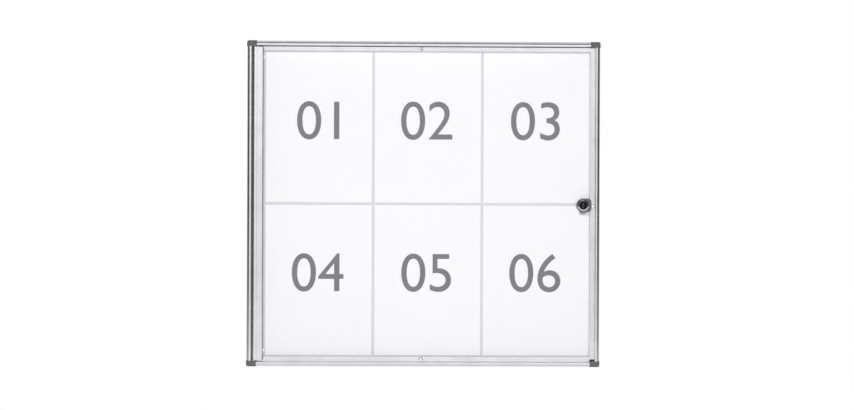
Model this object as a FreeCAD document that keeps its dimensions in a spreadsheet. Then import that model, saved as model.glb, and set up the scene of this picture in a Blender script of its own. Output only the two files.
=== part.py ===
"""Lockable notice board: a slim wall case for six sheets, with a hinged clear door and a cam lock.

X runs to the right, Z up, and Y from the viewer into the wall, all in millimetres. The origin is the
middle of the back panel's rear face, where the four wall screws pass through. Two more letters are
used for the frame's section: u is the distance inwards from a profile's outer face, and v is the
depth behind the front of the frame.
"""
import FreeCAD, Part
import Sketcher
import math
import os
import re

Vector = FreeCAD.Vector

# Driving sizes in millimetres, each with its meaning
SIZES = [
    ("overall_width", 697.0, "over the corner pieces, left to right"),
    ("overall_height", 642.0, "over the corner pieces, bottom to top"),
    ("case_depth", 30.0, "front of the profiles to the wall"),
    ("profile_wall", 1.4, "wall of the hollow profile"),
    ("shoulder_radius", 6.0, "rounding of the profile's outer front edge"),
    ("lip_round", 1.5, "rounding of the front band's inner edge"),
    ("lip_width", 9.5, "front band of the profile, outer face to the recess"),
    ("ledge_depth", 8.2, "front of the profile to the face of the ledge"),
    ("ledge_reach", 19.0, "outer face to the ledge's inner edge"),
    ("ledge_thick", 1.5, "thickness of the ledge fin"),
    ("groove_reach", 14.5, "outer face to the tips of the panel groove"),
    ("groove_fin", 1.2, "fin in front of the back panel"),
    ("panel_thick", 0.8, "steel back panel"),
    ("panel_recess", 2.0, "back panel's rear face to the wall"),
    ("panel_play", 0.2, "play of the back panel in its groove, each side"),
    ("panel_edge_gap", 0.8, "back panel's edge to the floor of its groove"),
    ("cap_proud", 0.5, "corner piece outside the profiles"),
    ("cap_front_proud", 0.3, "corner piece in front of the profiles"),
    ("cap_height", 11.0, "where the upright profiles are cut off below the corner"),
    ("cap_round", 4.2, "rounding of the corner piece's outer edges"),
    ("cap_wall", 1.8, "wall round the hollow in the corner piece's back"),
    ("cap_hollow_depth", 14.0, "depth of the hollow in the corner piece's back"),
    ("tab_reach", 3.5, "stop tab of two corner pieces on the end of the upright ledge"),
    ("tab_thick", 1.0, "thickness of that tab"),
    ("tab_play", 0.4, "tab to the walls beside it"),
    ("leg_length", 34.0, "corner leg inside a profile"),
    ("leg_play", 0.1, "barb tip to the profile's inner wall"),
    ("leg_front_gap", 1.0, "front of the leg behind the rounded shoulder"),
    ("barb_height", 0.4, "height of the gripping barbs on a leg"),
    ("barb_run", 4.0, "slope of one barb"),
    ("barb_pitch", 8.0, "barb to barb"),
    ("screw_inset", 20.0, "corner screw from the profile's end"),
    ("screw_radius", 1.5, "corner screw shank"),
    ("screw_head_radius", 2.9, "corner screw head, whose cone is as deep as the profile's wall"),
    ("screw_length", 9.0, "corner screw, whole length"),
    ("screw_play", 0.05, "round the corner screw"),
    ("screw_slot", 1.8, "square drive recess, across its flats"),
    ("wall_hole_radius", 2.75, "hole for a wall screw"),
    ("wall_hole_side", 31.0, "profile's outer face to the wall holes, sideways"),
    ("wall_hole_end", 30.5, "profile's outer face to the wall holes, up and down"),
    ("sheet_width", 210.0, "one notice sheet"),
    ("sheet_height", 297.0, "one notice sheet"),
    ("sheet_gap", 5.5, "between neighbouring sheets"),
    ("sheet_shift", 8.15, "middle of the six sheets right of the board's middle"),
    ("sheet_thick", 0.2, "notice sheet"),
    ("stile_gap", 2.2, "lip to the hinge stile"),
    ("stile_width", 19.8, "hinge stile seen from the front"),
    ("stile_set_back", 0.4, "hinge stile behind the front of the frame"),
    ("jaw_thick", 1.2, "front and rear jaw of the stile's slot"),
    ("slot_depth", 8.9, "slot of the stile that holds the pane"),
    ("stile_bevel", 1.0, "bevel of the stile's inner front edge"),
    ("stile_line", 8.0, "stile's left edge to its decorative line"),
    ("stile_line_depth", 0.35, "depth of the decorative line"),
    ("stile_cap_thick", 0.8, "end cap of the hinge stile"),
    ("door_top_gap", 1.0, "top of the stile to the corner piece"),
    ("pane_thick", 3.0, "clear acrylic pane"),
    ("pane_side_gap", 2.0, "lip to the pane's free edge"),
    ("pane_edge_play", 0.4, "pane's edge to the floor of the slot"),
    ("pane_corner_radius", 3.0, "free corners of the pane"),
    ("pane_edge_break", 0.4, "broken edge of the pane"),
    ("gasket_thick", 1.0, "gasket between front jaw and pane"),
    ("gasket_lip", 0.9, "gasket showing beside the stile"),
    ("bumper_radius", 4.2, "clear bumper on the ledge"),
    ("bumper_seat", 14.3, "profile's outer face to the bumper's middle"),
    ("bumper_shift", 4.5, "top and bottom bumper left of the board's middle"),
    ("bumper_drop", 4.0, "side bumper below the board's middle"),
    ("bumper_play", 0.1, "bumper to the closed pane"),
    ("bumper_round", 0.8, "sloping rim of a bumper"),
    ("pin_radius", 1.5, "hinge pin"),
    ("pin_play", 0.05, "running clearance round the hinge pin"),
    ("pin_in_stile", 16.0, "hinge pin inside the stile"),
    ("pin_in_bush", 5.0, "hinge pin inside the bush"),
    ("bush_wall", 0.8, "wall of the hinge bush"),
    ("bush_length", 6.0, "hinge bush inside the corner piece"),
    ("bush_flange_radius", 3.0, "flange of the hinge bush"),
    ("bush_flange_thick", 0.5, "flange of the hinge bush"),
    ("door_rest_gap", 0.1, "lower bush flange to the stile's end cap"),
    ("lock_inset", 33.4, "profile's outer face to the lock's middle"),
    ("lock_drop", 1.6, "lock's middle below the board's middle"),
    ("housing_radius", 13.25, "round end of the lock housing"),
    ("housing_reach", 16.4, "lock's middle to the housing's square end"),
    ("housing_corner", 7.0, "corners of the housing's square end"),
    ("housing_thick", 4.1, "lock housing in front of the pane"),
    ("housing_round", 1.2, "sloping front edge of the housing"),
    ("bezel_radius", 11.3, "chromed rim of the lock"),
    ("bezel_thick", 2.2, "chromed rim in front of the housing"),
    ("bezel_edge", 0.5, "upright outer edge of the rim"),
    ("face_radius", 8.4, "recess in the rim for the turning face"),
    ("face_depth", 1.8, "depth of that recess"),
    ("face_set_back", 0.4, "turning face behind the rim"),
    ("barrel_radius", 8.0, "threaded barrel of the lock"),
    ("barrel_flat", 6.5, "barrel's middle to each of its two flats"),
    ("barrel_play", 0.15, "barrel in the pane, housing, washer and nut"),
    ("plug_radius", 4.5, "turning plug inside the barrel"),
    ("plug_play", 0.05, "running clearance round the plug"),
    ("keyway_width", 1.6, "slot for the key"),
    ("keyway_height", 6.0, "slot for the key"),
    ("keyway_depth", 8.0, "slot for the key"),
    ("square_half", 3.1, "square rear end of the plug, middle to flat"),
    ("square_play", 0.05, "square end in the tongue"),
    ("washer_thick", 0.8, "washer behind the pane"),
    ("washer_radius", 11.0, "washer behind the pane"),
    ("nut_thick", 3.0, "hexagonal lock nut"),
    ("nut_across", 19.0, "lock nut across its flats"),
    ("nut_chamfer", 0.6, "chamfer of the lock nut's rear edge"),
    ("cam_gap", 0.6, "ledge's rear to the turned tongue"),
    ("cam_thick", 1.5, "locking tongue"),
    ("cam_reach", 18.0, "lock's middle to the tongue's tip"),
    ("cam_width", 13.0, "locking tongue"),
    ("cam_screw_radius", 2.0, "screw that holds the tongue"),
    ("cam_screw_head", 3.6, "head of that screw"),
    ("cam_screw_head_thick", 1.8, "head of that screw"),
    ("cam_screw_length", 6.0, "that screw inside the plug"),
]

BARBS = 3  # barbs on each side of a corner leg
COLUMNS = 3  # notice sheets side by side
ROWS = 2  # notice sheets above each other
PAST = "1"  # how far a cut runs on past the piece

doc = FreeCAD.newDocument("lockable_notice_board")
sheet = doc.addObject("Spreadsheet::Sheet", "Sizes")
for row, (alias, value, meaning) in enumerate(SIZES, start=1):
    sheet.set("A%d" % row, alias)
    sheet.set("B%d" % row, str(value))
    sheet.setAlias("B%d" % row, alias)
    sheet.set("C%d" % row, meaning)
doc.recompute()

NAMES = {alias for alias, value, meaning in SIZES}


def formula(text):
    """Turn every size's name in a formula into a reference to its cell."""
    return re.sub(
        r"[a-z_]+", lambda word: "Sizes." + word.group() if word.group() in NAMES else word.group(), text
    )


def size(text):
    """The present value of a formula, in millimetres."""
    return float(sheet.evalExpression(formula(text)))


# Places that several pieces share, as formulas of the driving sizes
SIDE = "(overall_width / 2 - cap_proud)"  # board's middle to a side profile's outer face
END = "(overall_height / 2 - cap_proud)"  # board's middle to a top or bottom profile's outer face
REAR = "(case_depth - panel_recess)"  # depth of the origin behind the front
CHAMBER = "(lip_width - profile_wall)"  # inner side of the hollow chamber
CHAMBER_MIDDLE = "(lip_width / 2)"
CAP_EDGE = "(%s - cap_height)" % END  # board's middle to the face of a corner piece
STILE_LEFT = "(lip_width + stile_gap)"
STILE_RIGHT = "(%s + stile_width)" % STILE_LEFT
STILE_THICK = "(2 * jaw_thick + gasket_thick + pane_thick)"
STILE_REAR = "(stile_set_back + %s)" % STILE_THICK
HINGE_U = "(%s + %s / 2)" % (STILE_LEFT, STILE_THICK)
HINGE_V = "(stile_set_back + %s / 2)" % STILE_THICK
HINGE_X = "(%s - %s)" % (HINGE_U, SIDE)
HINGE_Y = "(%s - %s)" % (HINGE_V, REAR)
SLOT_FLOOR = "(%s - slot_depth)" % STILE_RIGHT
PANE_FRONT = "(stile_set_back + jaw_thick + gasket_thick)"
PANE_REAR = "(%s + pane_thick)" % PANE_FRONT
DOOR_TOP = "(%s - door_top_gap)" % CAP_EDGE
DOOR_BOTTOM = "(bush_flange_thick + door_rest_gap - %s)" % CAP_EDGE
PANE_TOP = "(%s - stile_cap_thick)" % DOOR_TOP
PANE_BOTTOM = "(%s + stile_cap_thick)" % DOOR_BOTTOM
LOCK_X = "(%s - lock_inset)" % SIDE
LOCK_Z = "(0 - lock_drop)"
HOUSING_FRONT = "(%s - housing_thick)" % PANE_FRONT
BEZEL_FRONT = "(%s - bezel_thick)" % HOUSING_FRONT
CAM_FRONT = "(ledge_depth + ledge_thick + cam_gap)"
CAM_REAR = "(%s + cam_thick)" % CAM_FRONT
PANEL_FRONT = "(%s - panel_thick)" % REAR


def depth(v):
    """Y of a place that lies v behind the front of the frame."""
    return "(%s - %s)" % (v, REAR)


def new_body(label, separate=False):
    """A body with its own label; separate lets it hold several solids that don't touch."""
    body = doc.addObject("PartDesign::Body", label)
    body.Label = label
    body.AllowCompound = separate
    return body


def fix_point(sketch, geometry, end, x, y):
    """Tie one point of a sketch to two formulas, measured from the sketch's origin."""
    for kind, text in (("DistanceX", x), ("DistanceY", y)):
        index = sketch.addConstraint(Sketcher.Constraint(kind, -1, 1, geometry, end, size(text)))
        sketch.setExpression("Constraints[%d]" % index, formula(text))


def fix_radius(sketch, geometry, radius):
    """Tie the radius of an arc or a circle to a formula."""
    index = sketch.addConstraint(Sketcher.Constraint("Radius", geometry, size(radius)))
    sketch.setExpression("Constraints[%d]" % index, formula(radius))


def add_circle(sketch, x, y, radius):
    """A circle whose middle and radius are formulas."""
    circle = Part.Circle(Vector(size(x), size(y), 0), Vector(0, 0, 1), size(radius))
    index = sketch.addGeometry(circle, False)
    fix_point(sketch, index, 3, x, y)
    fix_radius(sketch, index, radius)


def arc_between(a, b, radius, turn):
    """The arc under half a circle from a to b, turning left (1) or right (-1)."""
    half = (b - a) * 0.5
    rise = math.sqrt(max(radius**2 - half.Length**2, 0.0))
    side = Vector(-half.y, half.x, 0).normalize() * turn
    centre = a + half + side * rise
    start, end = (a, b) if turn > 0 else (b, a)
    first = math.atan2(start.y - centre.y, start.x - centre.x)
    last = math.atan2(end.y - centre.y, end.x - centre.x)
    if last < first:
        last += 2 * math.pi
    return Part.ArcOfCircle(Part.Circle(centre, Vector(0, 0, 1), radius), first, last)


def add_ring(sketch, ring):
    """A closed outline. A point (x, y) is reached by a line, and (x, y, radius, turn) by an arc."""
    spots = [Vector(size(point[0]), size(point[1]), 0) for point in ring]
    pieces = []
    for i, point in enumerate(ring):
        if len(point) == 2:
            index = sketch.addGeometry(Part.LineSegment(spots[i - 1], spots[i]), False)
            pieces.append((index, 1, 2))
        else:
            radius, turn = point[2:]
            arc = arc_between(spots[i - 1], spots[i], size(radius), turn)
            index = sketch.addGeometry(arc, False)
            fix_radius(sketch, index, radius)
            pieces.append((index, 1, 2) if turn > 0 else (index, 2, 1))
    for i, (index, start, end) in enumerate(pieces):
        following, following_start, _ = pieces[(i + 1) % len(pieces)]
        sketch.addConstraint(Sketcher.Constraint("Coincident", index, end, following, following_start))
        fix_point(sketch, index, end, ring[i][0], ring[i][1])


def draw(body, name, plane, shapes, offset=("0", "0", "0")):
    """A sketch on one of the body's own planes, moved by offset in the plane's own directions."""
    planes = {feature.Role: feature for feature in body.Origin.OriginFeatures}
    sketch = body.newObject("Sketcher::SketchObject", name)
    sketch.AttachmentSupport = (planes[plane], [""])
    sketch.MapMode = "FlatFace"
    for axis, text in zip("xyz", offset):
        sketch.setExpression("AttachmentOffset.Base." + axis, formula(text))
    for shape in shapes:
        if isinstance(shape, tuple):
            add_circle(sketch, *shape)
        else:
            add_ring(sketch, shape)
    return sketch


def extrude(body, kind, sketch, length, both=False, taper=0):
    """A pad or pocket of a given length, to one side or half to each side."""
    feature = body.newObject("PartDesign::" + kind, kind.lower())
    feature.Profile = sketch
    feature.SideType = "Symmetric" if both else "One side"
    feature.TaperAngle = taper
    feature.setExpression("Length", formula(length))
    return feature


def front_slab(body, name, shapes, v_front, v_rear, taper=0):
    """A pad of a front-view outline that fills the depths from v_rear forwards to v_front."""
    sketch = draw(body, name, "XZ_Plane", shapes, ("0", "0", "0 - " + depth(v_rear)))
    return extrude(body, "Pad", sketch, "%s - %s" % (v_rear, v_front), taper=taper)


def front_cut(body, name, shapes, v_front, v_rear, taper=0):
    """A pocket of a front-view outline that opens at v_front and ends at v_rear."""
    sketch = draw(body, name, "XZ_Plane", shapes, ("0", "0", "0 - " + depth(v_front)))
    return extrude(body, "Pocket", sketch, "%s - %s" % (v_rear, v_front), taper=taper)


def turned(body, name, ring, x, z):
    """A solid turned about a line along Y through x, z. Its outline holds (radius, y) points."""
    sketch = draw(body, name, "XY_Plane", [ring], (x, "0", z))
    feature = body.newObject("PartDesign::Revolution", "revolution")
    feature.Profile = sketch
    feature.ReferenceAxis = (sketch, ["V_Axis"])
    feature.Angle = 360
    return feature


def dress(body, kind, base, amount, wanted):
    """A fillet or chamfer on the edges of base whose middle passes the test wanted."""
    doc.recompute()
    edges = []
    for number, edge in enumerate(base.Shape.Edges, start=1):
        if wanted(edge):
            edges.append("Edge%d" % number)
    feature = body.newObject("PartDesign::" + kind, kind.lower())
    feature.Base = (base, edges)
    feature.setExpression("Radius" if kind == "Fillet" else "Size", formula(amount))
    return feature


def near(a, b):
    """Whether two lengths are the same to a thousandth of a millimetre."""
    return abs(a - b) < 0.001


def lies_at_y(edge, y):
    """Whether an edge lies wholly in the plane at y."""
    return near(edge.BoundBox.YMin, y) and near(edge.BoundBox.YMax, y)


def rectangle(left, low, right, high):
    """The ring of a rectangle."""
    return [(left, low), (right, low), (right, high), (left, high)]


# Frame profiles: one hollow extrusion, cut to two lengths and laid on the four sides
PROFILE_OUTLINE = [
    ("0", "case_depth"),
    ("0", "shoulder_radius"),
    ("shoulder_radius", "0", "shoulder_radius", 1),
    ("lip_width - lip_round", "0"),
    ("lip_width", "lip_round", "lip_round", 1),
    ("lip_width", "ledge_depth"),
    ("ledge_reach", "ledge_depth"),
    ("ledge_reach", "ledge_depth + ledge_thick"),
    ("lip_width", "ledge_depth + ledge_thick"),
    ("lip_width", PANEL_FRONT + " - panel_play - groove_fin"),
    ("groove_reach", PANEL_FRONT + " - panel_play - groove_fin"),
    ("groove_reach", PANEL_FRONT + " - panel_play"),
    ("lip_width", PANEL_FRONT + " - panel_play"),
    ("lip_width", REAR + " + panel_play"),
    ("groove_reach", REAR + " + panel_play"),
    ("groove_reach", "case_depth"),
]
CHAMBER_OUTLINE = [
    ("profile_wall", "case_depth - profile_wall"),
    ("profile_wall", "shoulder_radius"),
    ("shoulder_radius", "profile_wall", "shoulder_radius - profile_wall", 1),
    (CHAMBER, "profile_wall"),
    (CHAMBER, "case_depth - profile_wall"),
]


def frame_profile(label, turn, x, z, half_length):
    """A profile drawn as its u, v section, extruded both ways and turned about Y into its place."""
    body = new_body(label)
    section = draw(body, "section", "XY_Plane", [PROFILE_OUTLINE, CHAMBER_OUTLINE])
    extrude(body, "Pad", section, "2 * " + half_length, both=True)
    body.Placement = FreeCAD.Placement(Vector(0, 0, 0), FreeCAD.Rotation(Vector(0, 1, 0), turn))
    for axis, text in (("x", x), ("y", "0 - " + REAR), ("z", z)):
        body.setExpression("Placement.Base." + axis, formula(text))
    return body


def countersinks(body):
    """Screw holes in a side profile's rear wall. The top and bottom lie trapped between corners."""
    spots = ["%s - screw_inset" % CAP_EDGE, "screw_inset - %s" % CAP_EDGE]
    circles = [(CHAMBER_MIDDLE, spot, "screw_head_radius + screw_play") for spot in spots]
    sketch = draw(body, "countersinks", "XZ_Plane", circles, ("0", "0", "0 - case_depth"))
    cone = extrude(body, "Pocket", sketch, "profile_wall", taper=-45)
    cone.Reversed = True
    body.Tip = cone


countersinks(frame_profile("frame_left", 0, "0 - " + SIDE, "0", CAP_EDGE))
countersinks(frame_profile("frame_right", 180, SIDE, "0", CAP_EDGE))
frame_profile("frame_top", 90, "0", END, "(%s - ledge_reach)" % SIDE)
frame_profile("frame_bottom", -90, "0", "0 - " + END, "(%s - ledge_reach)" % SIDE)


# Corner pieces: a moulded block that carries on the rounded shoulder, with two barbed legs
def leg_ring(place, foot, start):
    """A leg's outline: barbs that slope up away from its tip, along both of its long sides.

    place turns (distance along the leg, distance u from the outer face) into a point, foot is where
    the leg is rooted in the block, and start is where it enters the profile.
    """
    low = "profile_wall + leg_play"
    high = CHAMBER + " - leg_play"
    sides = []
    for grip, core in ((low, low + " + barb_height"), (high, high + " - barb_height")):
        points = [place(foot, core)]
        for barb in range(BARBS):
            root = "%s + %d * barb_pitch + barb_pitch / 2" % (start, barb)
            points += [place(root, core), place(root, grip), place(root + " + barb_run", core)]
        points.append(place("%s + leg_length" % start, core))
        sides.append(points)
    return sides[0] + sides[1][::-1]


def corner_piece(label, right, up, hinge_side):
    """A corner, with right and up as signs: (-1, 1) is the top left one.

    The top left and bottom right corners come from one mould, which adds a small stop tab.
    """
    body = new_body(label)

    def spot(u, w):
        """The front-view point that is u inside the side face and w inside the end face."""
        return ("%d * (%s - (%s))" % (right, SIDE, u), "%d * (%s - (%s))" % (up, END, w))

    proud = "0 - cap_proud"
    block = [
        spot("ledge_reach", "cap_height"),
        spot("ledge_reach", proud),
        spot(proud, proud),
        spot(proud, "cap_height"),
    ]
    solid = front_slab(body, "block", [block], "(0 - cap_front_proud)", "case_depth")
    front = size(depth("0 - cap_front_proud"))
    inner_x, inner_z = size(SIDE + " - ledge_reach"), size(CAP_EDGE)
    outer_x, outer_z = size("overall_width / 2"), size("overall_height / 2")

    def outer(edge):
        """The corner's upright edge and the two outer front edges, but no edge of a cut end."""
        middle = edge.CenterOfMass
        if near(abs(middle.x), outer_x) and near(abs(middle.z), outer_z):
            return True
        return lies_at_y(edge, front) and abs(middle.x) > inner_x + 0.001 and abs(middle.z) > inner_z + 0.001

    dress(body, "Fillet", solid, "cap_round", outer)
    hollow_ring = [
        spot("cap_wall", "cap_round"),
        spot("cap_round", "cap_wall") + ("cap_round - cap_wall", right * up),
        spot("ledge_reach - cap_wall", "cap_wall"),
        spot("ledge_reach - cap_wall", "cap_height - cap_wall"),
        spot("cap_wall", "cap_height - cap_wall"),
    ]
    sketch = draw(body, "hollow", "XZ_Plane", [hollow_ring], ("0", "0", "0 - " + depth("case_depth")))
    hollow = extrude(body, "Pocket", sketch, "cap_hollow_depth")
    hollow.Reversed = True
    leg_front = "(shoulder_radius + leg_front_gap)"
    leg_rear = "(case_depth - profile_wall - leg_play)"
    across = leg_ring(lambda along, u: spot(along, u), "(ledge_reach - cap_wall)", "ledge_reach")
    upright = leg_ring(lambda along, u: spot(u, along), "(cap_height - cap_wall)", "cap_height")
    front_slab(body, "leg_across", [across], leg_front, leg_rear)
    front_slab(body, "leg_upright", [upright], leg_front, leg_rear)
    if right * up < 0:
        tab = [
            spot("lip_width + tab_play", "cap_height - cap_wall"),
            spot("ledge_reach - tab_play", "cap_height - cap_wall"),
            spot("ledge_reach - tab_play", "cap_height + tab_reach"),
            spot("lip_width + tab_play", "cap_height + tab_reach"),
        ]
        front_slab(body, "tab", [tab], "(ledge_depth - tab_thick)", "ledge_depth")
    half = "(screw_radius + screw_play)"
    near_u, far_u = CHAMBER_MIDDLE + " - " + half, CHAMBER_MIDDLE + " + " + half
    near_w, far_w = "cap_height + screw_inset - " + half, "cap_height + screw_inset + " + half
    pilot = [spot(near_u, near_w), spot(far_u, near_w), spot(far_u, far_w), spot(near_u, far_w)]
    sketch = draw(body, "square_pilot", "XZ_Plane", [pilot], ("0", "0", "0 - " + depth(leg_rear)))
    screw_bore = extrude(body, "Pocket", sketch, "screw_length")
    screw_bore.Reversed = True
    body.Tip = screw_bore
    if hinge_side:
        bore = (HINGE_X, HINGE_Y, "pin_radius + pin_play + bush_wall + pin_play")
        plane_z = "%d * %s" % (up, CAP_EDGE)
        sketch = draw(body, "bush_bore", "XY_Plane", [bore], ("0", "0", plane_z))
        hole = extrude(body, "Pocket", sketch, "bush_length + pin_play")
        hole.Reversed = up > 0
        body.Tip = hole
    return body


for side, right in (("left", -1), ("right", 1)):
    for end, up in (("top", 1), ("bottom", -1)):
        corner_piece("corner_%s_%s" % (end, side), right, up, side == "left")


def corner_screws():
    """Four countersunk screws from the wall side, through the side profiles into the corner legs."""
    body = new_body("corner_screws", separate=True)
    spots = []
    for right in (-1, 1):
        for up in (-1, 1):
            x = "%d * (%s - %s)" % (right, SIDE, CHAMBER_MIDDLE)
            spots.append((x, "%d * (%s - screw_inset)" % (up, CAP_EDGE)))
    shanks = [spot + ("screw_radius",) for spot in spots]
    heads = [spot + ("screw_head_radius",) for spot in spots]
    slots = []
    for x, z in spots:
        half = "screw_slot / 2"
        slots.append(rectangle(x + " - " + half, z + " - " + half, x + " + " + half, z + " + " + half))
    front_slab(body, "shanks", shanks, "(case_depth - screw_length)", "case_depth")
    head_thick = "(case_depth - (screw_head_radius - screw_radius))"
    front_slab(body, "heads", heads, head_thick, "case_depth", taper=-45)
    sketch = draw(body, "drive", "XZ_Plane", slots, ("0", "0", "0 - " + depth("case_depth")))
    drive = extrude(body, "Pocket", sketch, "screw_head_radius - screw_radius")
    drive.Reversed = True
    body.Tip = drive
    return body


corner_screws()


def back_panel():
    """Lacquered steel sheet, slid into the grooves, with a wall-screw hole near each corner."""
    body = new_body("back_panel")
    half_x = "(%s - lip_width - panel_edge_gap)" % SIDE
    half_z = "(%s - lip_width - panel_edge_gap)" % END
    shapes = [rectangle("0 - " + half_x, "0 - " + half_z, half_x, half_z)]
    for right in (-1, 1):
        for up in (-1, 1):
            x = "%d * (%s - wall_hole_side)" % (right, SIDE)
            z = "%d * (%s - wall_hole_end)" % (up, END)
            shapes.append((x, z, "wall_hole_radius"))
    front_slab(body, "panel", shapes, PANEL_FRONT, REAR)
    return body


back_panel()


def notice_sheets():
    """Sheets of paper that lie on the back panel, in rows and columns with an even gap."""
    body = new_body("notice_sheets", separate=True)
    shapes = []
    for column in range(COLUMNS):
        for row in range(ROWS):
            x = "(sheet_shift + %s * (sheet_width + sheet_gap))" % (column - (COLUMNS - 1) / 2)
            z = "(%s * (sheet_height + sheet_gap))" % (row - (ROWS - 1) / 2)
            wide, tall = "sheet_width / 2", "sheet_height / 2"
            shapes.append(rectangle(x + " - " + wide, z + " - " + tall, x + " + " + wide, z + " + " + tall))
    front_slab(body, "sheets", shapes, "(%s - sheet_thick)" % PANEL_FRONT, PANEL_FRONT)
    return body


notice_sheets()


def pane_bumpers():
    """Three clear bumpers on the ledge: top, bottom and beside the lock."""
    body = new_body("pane_bumpers", separate=True)
    spots = [
        ("0 - bumper_shift", "%s - bumper_seat" % END, "bumper_radius"),
        ("0 - bumper_shift", "bumper_seat - %s" % END, "bumper_radius"),
        ("%s - bumper_seat" % SIDE, "0 - bumper_drop", "bumper_radius"),
    ]
    front = "(%s + bumper_play)" % PANE_REAR
    discs = front_slab(body, "bumpers", spots, front, "ledge_depth")
    rim = size(depth(front))
    dress(body, "Chamfer", discs, "bumper_round", lambda edge: lies_at_y(edge, rim))
    return body


pane_bumpers()


# Door: an extruded hinge stile on the left holds the clear pane in a slot
STILE_OUTLINE = [
    (HINGE_U, "stile_set_back"),
    (STILE_LEFT + " + stile_line - stile_line_depth", "stile_set_back"),
    (STILE_LEFT + " + stile_line", "stile_set_back + stile_line_depth"),
    (STILE_LEFT + " + stile_line + stile_line_depth", "stile_set_back"),
    (STILE_RIGHT + " - stile_bevel", "stile_set_back"),
    (STILE_RIGHT, "stile_set_back + stile_bevel"),
    (STILE_RIGHT, "stile_set_back + jaw_thick"),
    (SLOT_FLOOR, "stile_set_back + jaw_thick"),
    (SLOT_FLOOR, PANE_REAR),
    (STILE_RIGHT, PANE_REAR),
    (STILE_RIGHT, STILE_REAR),
    (HINGE_U, STILE_REAR),
    (STILE_LEFT, HINGE_V, STILE_THICK + " / 2", 1),
]
STILE_OUTLINE[0] += (STILE_THICK + " / 2", 1)


def along_stile(body, name, shapes, low, high):
    """A section in u and v, measured from the left side's front edge, extruded from low to high."""
    sketch = draw(body, name, "XY_Plane", shapes, ("0 - " + SIDE, "0 - " + REAR, low))
    return extrude(body, "Pad", sketch, "%s - %s" % (high, low))


def hinge_stile():
    """The stile: a round left edge about the hinge line, a pin bore, and a slot for the pane."""
    body = new_body("hinge_stile")
    shapes = [STILE_OUTLINE, (HINGE_U, HINGE_V, "pin_radius + pin_play")]
    along_stile(body, "section", shapes, PANE_BOTTOM, PANE_TOP)
    return body


def stile_cap(label, top):
    """Moulded end cap: the stile's outline as a plate, with the pin's hole."""
    body = new_body(label)
    outline = [
        (HINGE_U, "stile_set_back") + (STILE_THICK + " / 2", 1),
        (STILE_RIGHT + " - stile_bevel", "stile_set_back"),
        (STILE_RIGHT, "stile_set_back + stile_bevel"),
        (STILE_RIGHT, STILE_REAR),
        (HINGE_U, STILE_REAR),
        (STILE_LEFT, HINGE_V, STILE_THICK + " / 2", 1),
    ]
    shapes = [outline, (HINGE_U, HINGE_V, "pin_radius + pin_play")]
    low, high = (PANE_TOP, DOOR_TOP) if top else (DOOR_BOTTOM, PANE_BOTTOM)
    along_stile(body, "plate", shapes, low, high)
    return body


def glazing_gasket():
    """Rubber strip wedged between the front jaw and the pane, with a lip that shows."""
    body = new_body("glazing_gasket")
    inner = SLOT_FLOOR + " + pane_edge_play"
    jaw = "stile_set_back + jaw_thick"
    ring = [
        (inner, jaw),
        (STILE_RIGHT, jaw),
        (STILE_RIGHT, jaw + " - gasket_lip / 3"),
        (STILE_RIGHT + " + gasket_lip / 2", jaw + " - gasket_lip / 3"),
        (STILE_RIGHT + " + gasket_lip", jaw + " + gasket_lip / 3"),
        (STILE_RIGHT + " + gasket_lip", PANE_FRONT),
        (inner, PANE_FRONT),
    ]
    along_stile(body, "strip", [ring], PANE_BOTTOM, PANE_TOP)
    return body


def upright_pin(label, low, high, up):
    """A plain steel pin on the hinge line, chamfered where it enters the bush."""
    body = new_body(label)
    sketch = draw(body, "round", "XY_Plane", [(HINGE_X, HINGE_Y, "pin_radius")], ("0", "0", low))
    pin = extrude(body, "Pad", sketch, "%s - %s" % (high, low))
    tip = size(high if up > 0 else low)
    dress(body, "Chamfer", pin, "pin_radius / 4", lambda edge: near(edge.CenterOfMass.z, tip))
    return body


def hinge_bush(label, up):
    """A flanged bush pressed into a corner piece, with its flange towards the door."""
    body = new_body(label)
    outer, inner = "pin_radius + pin_play + bush_wall", "pin_radius + pin_play"
    face = "%d * %s" % (up, CAP_EDGE)
    sleeve = draw(
        body, "sleeve", "XY_Plane", [(HINGE_X, HINGE_Y, outer), (HINGE_X, HINGE_Y, inner)], ("0", "0", face)
    )
    tube = extrude(body, "Pad", sleeve, "bush_length")
    tube.Reversed = up < 0
    flange = draw(
        body, "flange", "XY_Plane", [(HINGE_X, HINGE_Y, "bush_flange_radius"), (HINGE_X, HINGE_Y, inner)],
        ("0", "0", face),
    )
    ring = extrude(body, "Pad", flange, "bush_flange_thick")
    ring.Reversed = up > 0
    return body


def clear_pane():
    """Acrylic sheet with two rounded free corners and a hole with two flats for the lock."""
    body = new_body("pane")
    left = "%s + pane_edge_play - %s" % (SLOT_FLOOR, SIDE)
    right = "%s - lip_width - pane_side_gap" % SIDE
    outline = [
        (left, PANE_BOTTOM),
        (right + " - pane_corner_radius", PANE_BOTTOM),
        (right, PANE_BOTTOM + " + pane_corner_radius", "pane_corner_radius", 1),
        (right, PANE_TOP + " - pane_corner_radius"),
        (right + " - pane_corner_radius", PANE_TOP, "pane_corner_radius", 1),
        (left, PANE_TOP),
    ]
    sheet_solid = front_slab(body, "pane", [outline, lock_hole()], PANE_FRONT, PANE_REAR)
    edge_x = size(right + " - pane_corner_radius")
    dress(
        body, "Chamfer", sheet_solid, "pane_edge_break",
        lambda edge: edge.BoundBox.YLength < 0.001 and edge.CenterOfMass.x > edge_x,
    )
    return body


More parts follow.
